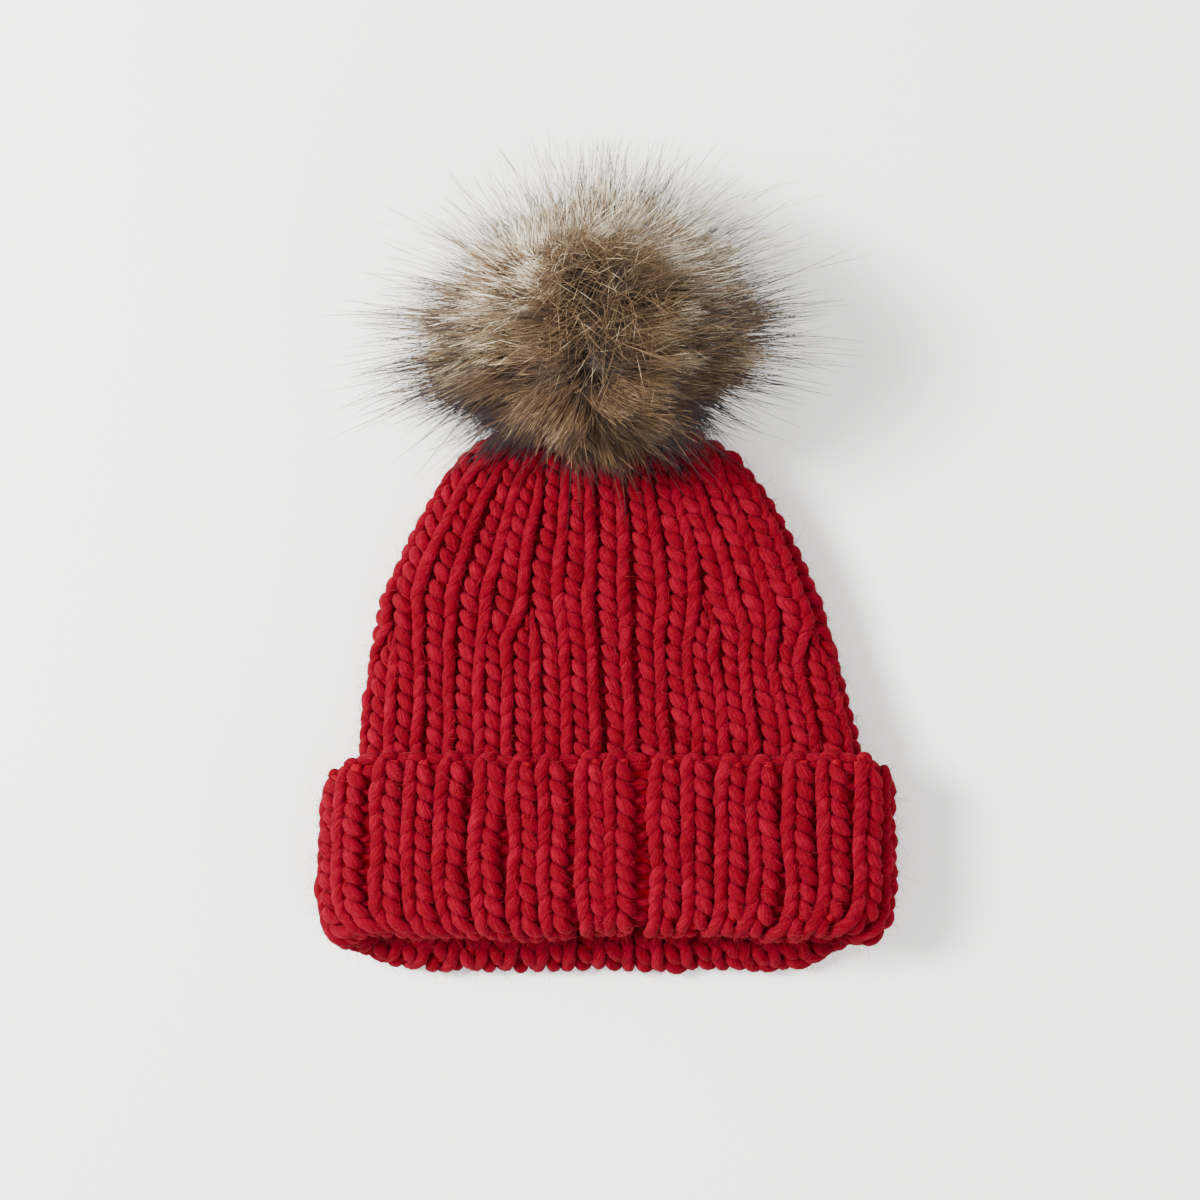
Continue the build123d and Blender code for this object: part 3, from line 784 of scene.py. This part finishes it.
def even_directions(count, seed):
    """Points spread evenly over a sphere, each moved a little."""
    draw = np.random.default_rng(seed)
    i = np.arange(count) + 0.5
    z = 1 - 2 * i / count
    angle = i * math.pi * (3 - math.sqrt(5))
    flat = np.sqrt(1 - z * z)
    d = np.stack([flat * np.cos(angle), flat * np.sin(angle), z], -1)
    return unit(d + draw.normal(0, 0.5 / math.sqrt(count), d.shape))


def drift_field(d, seed, grain):
    """A smooth random field over directions, about -1 to 1."""
    draw = np.random.default_rng(seed)
    waves = unit(draw.normal(0, 1, (7, 3))) * grain
    phase = draw.random(7) * TURN
    return np.sin(d @ waves.T + phase).sum(-1) / 3.2


DEEPEST = unit(np.array([0.05, 0.26, 1.0]))   # where the pile's hairs are darkest
DEEP_WITHIN = math.radians(15)
# The pile parts along a short crease on the side that faces up, from the first of these directions
# to the second
CREASE = unit(np.array([[-0.14, 0.22, 1.0], [-0.02, -0.52, 1.0]]))
CREASE_WAY = CREASE[1] - CREASE[0]
K_GUIDE = 13
GUIDE_REACH = 84 * MM
K_HAIR = 8
ROOTED = BALL - 1.5 * MM                 # hairs start just inside the backing
LEAST_LEAN, MORE_LEAN = 13, 64           # degrees off upright far from the crease, and gained near it
FALL = np.array([0, -0.05, -0.15])       # how far hairs bend down by their tips
FUR_LIMIT = corners("pom_fur")[1][1] + 15 * MM   # the longest tips, past the pile's middle length


def crease_near(n):
    """The direction of the crease's nearest point."""
    along = np.clip((n - CREASE[0]) @ CREASE_WAY / (CREASE_WAY @ CREASE_WAY), 0, 1)
    return unit(CREASE[0] + along[:, None] * CREASE_WAY)


def flow(directions, lean, twist):
    """Hairs' paths over the ball, at even steps, leading away from the crease."""
    p = POM + directions * ROOTED
    path = [p]
    first = crease_near(directions)
    own = unit(directions - np.sum(directions * first, -1, keepdims=True) * first + 1e-5)
    step = GUIDE_REACH / (K_GUIDE - 1)
    for k in range(1, K_GUIDE):
        n = unit(p - POM)
        near = crease_near(n)
        polar = np.sum(n * near, -1, keepdims=True)
        away = unit(polar * n - near + 0.15 * own)
        away = unit(away - np.sum(away * n, -1, keepdims=True) * n)
        side = np.cross(n, away)
        away = away * np.cos(twist)[:, None] + side * np.sin(twist)[:, None]
        angle = lean[:, None] * np.radians(LEAST_LEAN + MORE_LEAN * smooth((polar + 0.20) / 1.00))
        angle = np.where(k < 4, angle * (1 - 0.30 * smooth((polar - 0.90) / 0.09)), angle)
        heading = np.cos(angle) * n + np.sin(angle) * away
        heading = unit(heading + FALL * (k / K_GUIDE) ** 1.5)
        p = p + heading * step
        path.append(p)
    return np.stack(path, axis=1)


def along_path(paths, which, reach):
    """Points at even steps up to each hair's reach, on the path that it follows."""
    at = np.linspace(0, 1, K_HAIR) * (reach[:, None] / GUIDE_REACH) * (K_GUIDE - 1)
    at = np.clip(at, 0, K_GUIDE - 1.001)
    low = at.astype(int)
    part = (at - low)[..., None]
    rows = which[:, None]
    return paths[rows, low] * (1 - part) + paths[rows, low + 1] * part


def scattered(seed, middle, spread, count):
    return np.random.default_rng(seed).normal(middle, spread, count)


LOCKS = even_directions(110, 61)
LOCK_TWIST = scattered(62, 0, 0.24, len(LOCKS)) + 0.30 * drift_field(LOCKS, 67, 2.4)
LOCK_LEAN = scattered(63, 1, 0.12, len(LOCKS))
LOCK_REACH = scattered(64, 1, 0.17, len(LOCKS))
TUFTS = even_directions(1300, 65)
TUFT_LOCK = np.argmax(TUFTS @ LOCKS.T, axis=1)
TUFT_TWIST = LOCK_TWIST[TUFT_LOCK] + scattered(66, 0, 0.11, len(TUFTS))
TUFT_LEAN = LOCK_LEAN[TUFT_LOCK] * scattered(68, 1, 0.09, len(TUFTS))
TUFT_REACH = LOCK_REACH[TUFT_LOCK] * scattered(69, 1, 0.13, len(TUFTS))
TUFT_LIGHT = scattered(70, 0, 0.06, len(LOCKS))[TUFT_LOCK] + scattered(72, 0, 0.06, len(TUFTS))
TUFT_COAT = np.random.default_rng(73).integers(0, 3, len(TUFTS))
LOCK_PATHS = flow(LOCKS, LOCK_LEAN, LOCK_TWIST)
TUFT_PATHS = flow(TUFTS, TUFT_LEAN, TUFT_TWIST)


def reach_of(d, wider, shorter_away):
    """The pile is shortest towards the hat, and it falls into a lobe on either side and one on the
    far side. wider is how much it gains out to the sides, and shorter_away how much it loses on the
    far side."""
    flat = d[:, :2] / np.maximum(np.linalg.norm(d[:, :2], axis=1, keepdims=True), 1e-6)
    level = np.sqrt(np.clip(1 - d[:, 2] ** 2, 0, 1))
    side = flat[:, 0] ** 2
    lopsided = 1 - 0.24 * level * np.maximum(flat[:, 0], 0)
    between = smooth(4 * np.abs(flat[:, 0]) * np.maximum(flat[:, 1], 0) - 1) * level
    to_hat = np.clip(-flat[:, 1], 0, 1) ** 2
    to_far = np.clip(flat[:, 1], 0, 1) ** 2
    to_base = smooth((d @ -POM_AXIS - 0.5) / 0.4)
    return (1 + level * (wider * side - 0.40 * to_hat - shorter_away * to_far)) * (
        lopsided * (1 - 0.20 * between) * (1 - 0.45 * to_base))


def clear_of_hat(line, draw):
    """Lifts hairs off the table and off the crown's knit, where the pom lies against it."""
    lift = draw.random((len(line), 1)) * 3 * MM
    x, y, z = line[..., 0], line[..., 1], line[..., 2]
    wide, high, mid, drift = body_outline(np.minimum(y, CROWN[1] - 0.5 * MM))
    side = np.maximum(np.abs(x - drift) - (wide - high), 0) / high
    top = mid + high * np.sqrt(np.clip(1 - side ** 2, 0, 1)) + 1.2 * MM + lift
    over = (side < 1) & (y < CROWN[1] - 1 * MM) & (z > mid)
    z = np.where(over, np.maximum(z, top), z)
    z = np.maximum(z, 0.5 * MM + 0.3 * lift)
    line = np.stack([x, y, z], -1)
    line[:, 1:-1] = 0.5 * line[:, 1:-1] + 0.25 * (line[:, :-2] + line[:, 2:])
    return line


def out_of_ball(line):
    off = line - POM
    gone = np.linalg.norm(off, axis=-1, keepdims=True)
    return POM + off / gone * np.maximum(gone, ROOTED)


LIGHT_OVER, DARK_UNDER = 0.70, 0.30      # the lightness that makes a hair light or dark
LIKE_ITS_TUFT = 0.7                      # the share of hairs that match the tuft they stand in


def coloured(draw, roots, tuft, coats, painted_light_right):
    """Each hair's tone at each of its stretches: lighter away from the hat, alike in a tuft, and
    with painted light on the right, where the key light leaves the pile in shade.
    """
    # painted light: the right side is made lighter, against the shade that the key light from the left
    # leaves there
    lightness = 0.47 + 0.70 * roots[:, 1] + painted_light_right * np.maximum(roots[:, 0], 0)
    lightness = lightness + 0.05 * drift_field(roots, 71, 5.0) - 0.12 * smooth(0.6 - 1.6 * roots[:, 2])
    lightness = lightness + TUFT_LIGHT[tuft] + draw.normal(0, 0.07, len(roots))
    alike = draw.random(len(roots)) < LIKE_ITS_TUFT
    pick = np.where(alike, TUFT_COAT[tuft], draw.integers(0, 3, len(roots)))
    kinds = np.where(lightness > LIGHT_OVER, "light", np.where(lightness < DARK_UNDER, "dark", "middle"))
    if "dusky" in coats:
        low_side = -roots[:, 1] * np.abs(roots[:, 0]) + draw.normal(0, 0.07, len(roots))
        kinds = np.where((low_side > 0.26) & (roots[:, 2] < 0.40), "dusky", kinds)
    thickest = roots @ DEEPEST + draw.normal(0, 0.015, len(roots))
    kinds = np.where(thickest > math.cos(DEEP_WITHIN), "deep", kinds)
    index = np.zeros((len(roots), K_HAIR - 1), int)
    for kind, rows in coats.items():
        for w, row in enumerate(rows):
            index[(kinds == kind) & (pick == w)] = row
    shade = draw.choice(len(SHADES), (len(roots), 1), p=(0.28, 0.46, 0.26))
    return index * len(SHADES) + shade


BARE_WITHIN = math.radians(27)           # the disc's edge, from the snap's axis


def grow(name, count, seed, reach, spread, thick, tuft_pull, lock_pull, stray, coats, wider, shorter_away,
         painted_light_right):
    """A coat of hair over the ball. reach is its length, and thick a hair's diameter at the root."""
    draw = np.random.default_rng(seed)
    roots = even_directions(count, seed)
    roots = roots[roots @ -POM_AXIS < math.cos(BARE_WITHIN)]
    n = len(roots)
    near = roots + draw.normal(0, 0.012, (n, 3))
    tuft = np.argmax(near @ TUFTS.T, axis=1)
    lock = TUFT_LOCK[tuft]
    own_reach = reach * reach_of(roots, wider, shorter_away) * TUFT_REACH[tuft] * draw.normal(1, spread, n)
    own_reach = np.clip(own_reach, 9 * MM, GUIDE_REACH)
    lean = TUFT_LEAN[tuft] * draw.normal(1, 0.12, n)
    twist = TUFT_TWIST[tuft] + draw.normal(0, 0.12, n)
    own = along_path(flow(roots, lean, twist), np.arange(n), own_reach)
    t = np.linspace(0, 1, K_HAIR)[:, None]
    pull = tuft_pull * t ** 1.2 * draw.uniform(0.4, 1.0, (n, 1, 1))
    line = own * (1 - pull) + along_path(TUFT_PATHS, tuft, own_reach) * pull
    pull = lock_pull * t ** 1.5
    line = line * (1 - pull) + along_path(LOCK_PATHS, lock, own_reach) * pull
    line = line + draw.normal(0, 1, (n, 1, 3)) * t ** 1.7 * stray
    line = clear_of_hat(out_of_ball(line), draw)
    room = (FUR_LIMIT - line[:, :1, 1]) / np.maximum(line[:, -1:, 1] - line[:, :1, 1], 1e-6)
    line = line[:, :1] + (line - line[:, :1]) * np.clip(room, 0.3, 1)[..., None]
    radius = thick / 2 * draw.uniform(0.7, 1.2, n)
    index = coloured(draw, roots, tuft, coats, painted_light_right)
    return strand_pieces(name, "pom", FUR, line, radius, index)


def tangle(name, count, seed):
    """Loose hairs that cross each other every way over the crease and beyond its far end."""
    draw = np.random.default_rng(seed)
    roots = unit(DEEPEST + draw.normal(0, 1, (count, 3)) * np.array([0.26, 0.28, 0.05]))
    along = draw.uniform(0, 2 * math.pi, (count, 1))
    east = unit(np.cross(np.array([0.0, 1.0, 0.0]), roots))
    north = np.cross(roots, east)
    way = np.cos(along) * east + np.sin(along) * north
    bend = draw.normal(0, 0.36, (count, 1)) * np.cross(roots, way) - 0.35 * roots
    reach = draw.uniform(22, 46, (count, 1, 1)) * MM
    t = np.linspace(0, 1, K_HAIR)[:, None]
    start = POM + roots * (BALL + draw.uniform(1, 9, (count, 1)) * MM)
    rise = roots * draw.uniform(0.05, 0.6, (count, 1))
    line = start[:, None] + reach * (unit(way + rise)[:, None] * t + bend[:, None] * t * t * 0.6)
    tuft = np.argmax(roots @ TUFTS.T, axis=1)
    radius = draw.uniform(0.06, 0.11, count) * MM
    index = coloured(draw, roots, tuft, TANGLE, 0.0)
    return strand_pieces(name, "pom", FUR, out_of_ball(line), radius, index)


# The last number of each is painted light on the pile's right side, where the key light leaves it in
# shade.
fur_pieces = grow("pom_underfur", int(52000 * few), 31, 36 * MM, 0.13, 0.20 * MM, 0.62, 0.42, 1.2 * MM,
                  UNDER, -0.22, 0.54, 0.42)
fur_pieces += grow("pom_guard_hair", int(11500 * few), 32, 45 * MM, 0.20, 0.28 * MM, 0.52, 0.36,
                   2.6 * MM, GUARD, -0.04, 0.26, 0.16)
fur_pieces += grow("pom_wisps", int(2700 * few), 33, 57 * MM, 0.20, 0.38 * MM, 0.34, 0.12, 6.0 * MM,
                   GUARD, 0.04, 0.12, 0.0)
fur_pieces += tangle("pom_tangle", int(650 * few), 34)
for piece in fur_pieces:
    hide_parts("pom_fur")


def stuffed_ball():
    """The pom's woven backing over its filling: gathered, so a little puckered, and flat at the disc."""
    d = even_directions(9000, 91)
    puckers = 0.4 * MM * drift_field(d, 92, 22.0) + 0.7 * MM * drift_field(d, 93, 6.0)
    p = d * (BALL - 1.2 * MM + puckers)[:, None]
    base = POM_REACH - 17.2 * MM
    down = p @ -POM_AXIS
    p = p + np.maximum(down - base, 0)[:, None] * POM_AXIS
    shell = bmesh.new()
    for point in POM + p:
        shell.verts.new(point)
    bmesh.ops.convex_hull(shell, input=shell.verts)
    loose = [v for v in shell.verts if not v.link_faces]
    bmesh.ops.delete(shell, geom=loose, context="VERTS")
    skin = bpy.data.meshes.new("pom_ball")
    shell.to_mesh(skin)
    shell.free()
    material, nodes, links, shader = node_material("fur_backing")
    weave = noise_of(nodes, links, nodes.new("ShaderNodeTexCoord").outputs["Object"], 900, 4)
    toned(nodes, links, shader, weave, [
        (0.3, linear(14, 9, 6)), (0.5, linear(30, 21, 14)), (0.7, linear(44, 32, 22)),
    ])
    settle(shader, Roughness=0.9)
    skin.materials.append(material)
    ball = in_scene("pom_ball", skin)
    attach(ball, "pom")
    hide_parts("pom_backing", "pom_stuffing")


stuffed_ball()


# ------------------------ small pieces
def gather_ring():
    """The yarn drawn through the last round of stitches, a ring of it across the crown's axis."""
    low, high = corners("gather_yarn")
    k = 72
    turn = np.linspace(0, 2 * math.pi, k)
    over = unit(np.array([0.0, -math.sin(ANCHOR_TILT), math.cos(ANCHOR_TILT)]))
    radius = (high[0] - low[0]) / 2 - YARN
    circle = np.cos(turn)[:, None] * np.array([1.0, 0.0, 0.0]) + np.sin(turn)[:, None] * over
    centres = ((low + high) / 2 + circle * radius)[None]
    radii = np.full((1, k, 2), 0.97 * YARN)
    ring = yarn_piece("gather_ring", "hat", RED, centres, circle[None], radii, 14, 0.12, 420.0, 77)
    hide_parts("gather_yarn")


def satin_label():
    """The blank care label: thin satin with folded-under ends, curling a little at its free end."""
    low, high = corners("care_label")
    cols, rows = 20, 30
    across, along = np.linspace(low[0], high[0], cols), np.linspace(low[1], high[1], rows)
    x, y = np.meshgrid(across, along, indexing="ij")
    free = (high[1] - y) / (high[1] - low[1])
    middle = (low[2] + high[2]) / 2 + 0.12 * MM * np.sin(x * 420) * free
    half = 0.14 * MM + 0.12 * MM * (np.abs(free - 0.5) > 0.46)
    points = np.stack([np.stack([x, y, middle + side * half], -1) for side in (1, -1)]).reshape(-1, 3)
    a = np.add.outer(np.arange(cols - 1) * rows, np.arange(rows - 1)).ravel()
    top = np.stack([a, a + rows, a + rows + 1, a + 1], -1)
    under = top[:, ::-1] + cols * rows
    rim = np.concatenate([
        np.arange(cols) * rows, (cols - 1) * rows + np.arange(1, rows),
        np.arange(cols - 1)[::-1] * rows + rows - 1, np.arange(1, rows - 1)[::-1],
    ])
    after = np.roll(rim, -1)
    edge = np.stack([after, rim, rim + cols * rows, after + cols * rows], -1)
    faces = np.concatenate([top, under, edge])
    satin = grained("label_satin", linear(128, 125, 118), linear(140, 137, 130), 0.42, 0.0,
                    (2600, 160, 900), 0.05)
    starts = np.arange(len(faces)) * 4
    label = new_object("satin_label", "hat", [satin], points, faces.ravel(), starts)
    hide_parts("care_label")


def dress(material, *names):
    """Gives CAD nodes whose shape is right their material."""
    for name in names:
        for piece_slot in frame["nodes"][name].material_slots:
            piece_slot.material = material


gather_ring()
satin_label()
dress(grained("wound_thread", linear(52, 4, 12), linear(88, 10, 24), 0.8, 0.0, (2400, 2400, 5200), 0.12),
      "anchor_thread", "shank_knot", "label_stitches", "thread_shank", "base_stitches", "pom_drawstring")
dress(grained("turned_button", linear(70, 6, 14), linear(88, 10, 20), 0.3, 0.0, (900, 900, 900), 0.03),
      "backing_button")
dress(grained("moulded_disc", linear(20, 18, 17), linear(30, 28, 26), 0.6, 0.0, (1500, 1500, 1500), 0.04),
      "pom_base_disc")
dress(grained("stamped_brass", linear(120, 108, 88), linear(150, 138, 116), 0.36, 1.0,
              (700, 2600, 700), 0.02),
      "snap_stud", "socket_spring", "snap_socket", "socket_rivet")


# ------------------------ floor, lights and camera
def backdrop():
    material, nodes, links, shader = node_material("pale_table")
    settle(shader, Base_Color=(*linear(234, 232, 229), 1), Roughness=0.85)
    mesh = bpy.data.meshes.new("table")
    size = 12.0
    square = ((-size, -size, 0), (size, -size, 0), (size, size, 0), (-size, size, 0))
    mesh.from_pydata(square, [], [(0, 1, 2, 3)])
    mesh.materials.append(material)
    in_scene("table", mesh)


def area_light(name, place, aim, size, power, colour=(1, 1, 1)):
    light = bpy.data.lights.new(name, "AREA")
    light.shape = "DISK"
    light.size = size
    light.energy = power
    light.color = colour
    lamp = in_scene(name, light)
    lamp.location = place
    lamp.rotation_euler = (Vector(aim) - Vector(place)).to_track_quat("-Z", "Y").to_euler()


def lights():
    world = bpy.data.worlds.new("studio")
    world.use_nodes = True
    settle(world.node_tree.nodes["Background"], Color=(1.0, 1.0, 1.0, 1), Strength=1.62)
    bpy.context.scene.world = world
    area_light("key", (-1.08, 0.25, 1.12), (0, 0, 0.02), 0.60, 101, (1.0, 0.99, 0.975))
    area_light("fill", (0.9, -0.5, 1.3), (0, 0, 0.02), 1.4, 18)


def camera():
    cam = bpy.data.cameras.new("camera")
    cam.lens = 85.0
    cam.sensor_width = 36.0
    cam.clip_end = 20
    across = 0.480                       # width of the view where the hat's edges are
    distance = across * cam.lens / cam.sensor_width
    seen = in_scene("camera", cam)
    seen.location = (-0.002, -0.011, distance + 0.022)
    bpy.context.scene.camera = seen


backdrop()
lights()
camera()
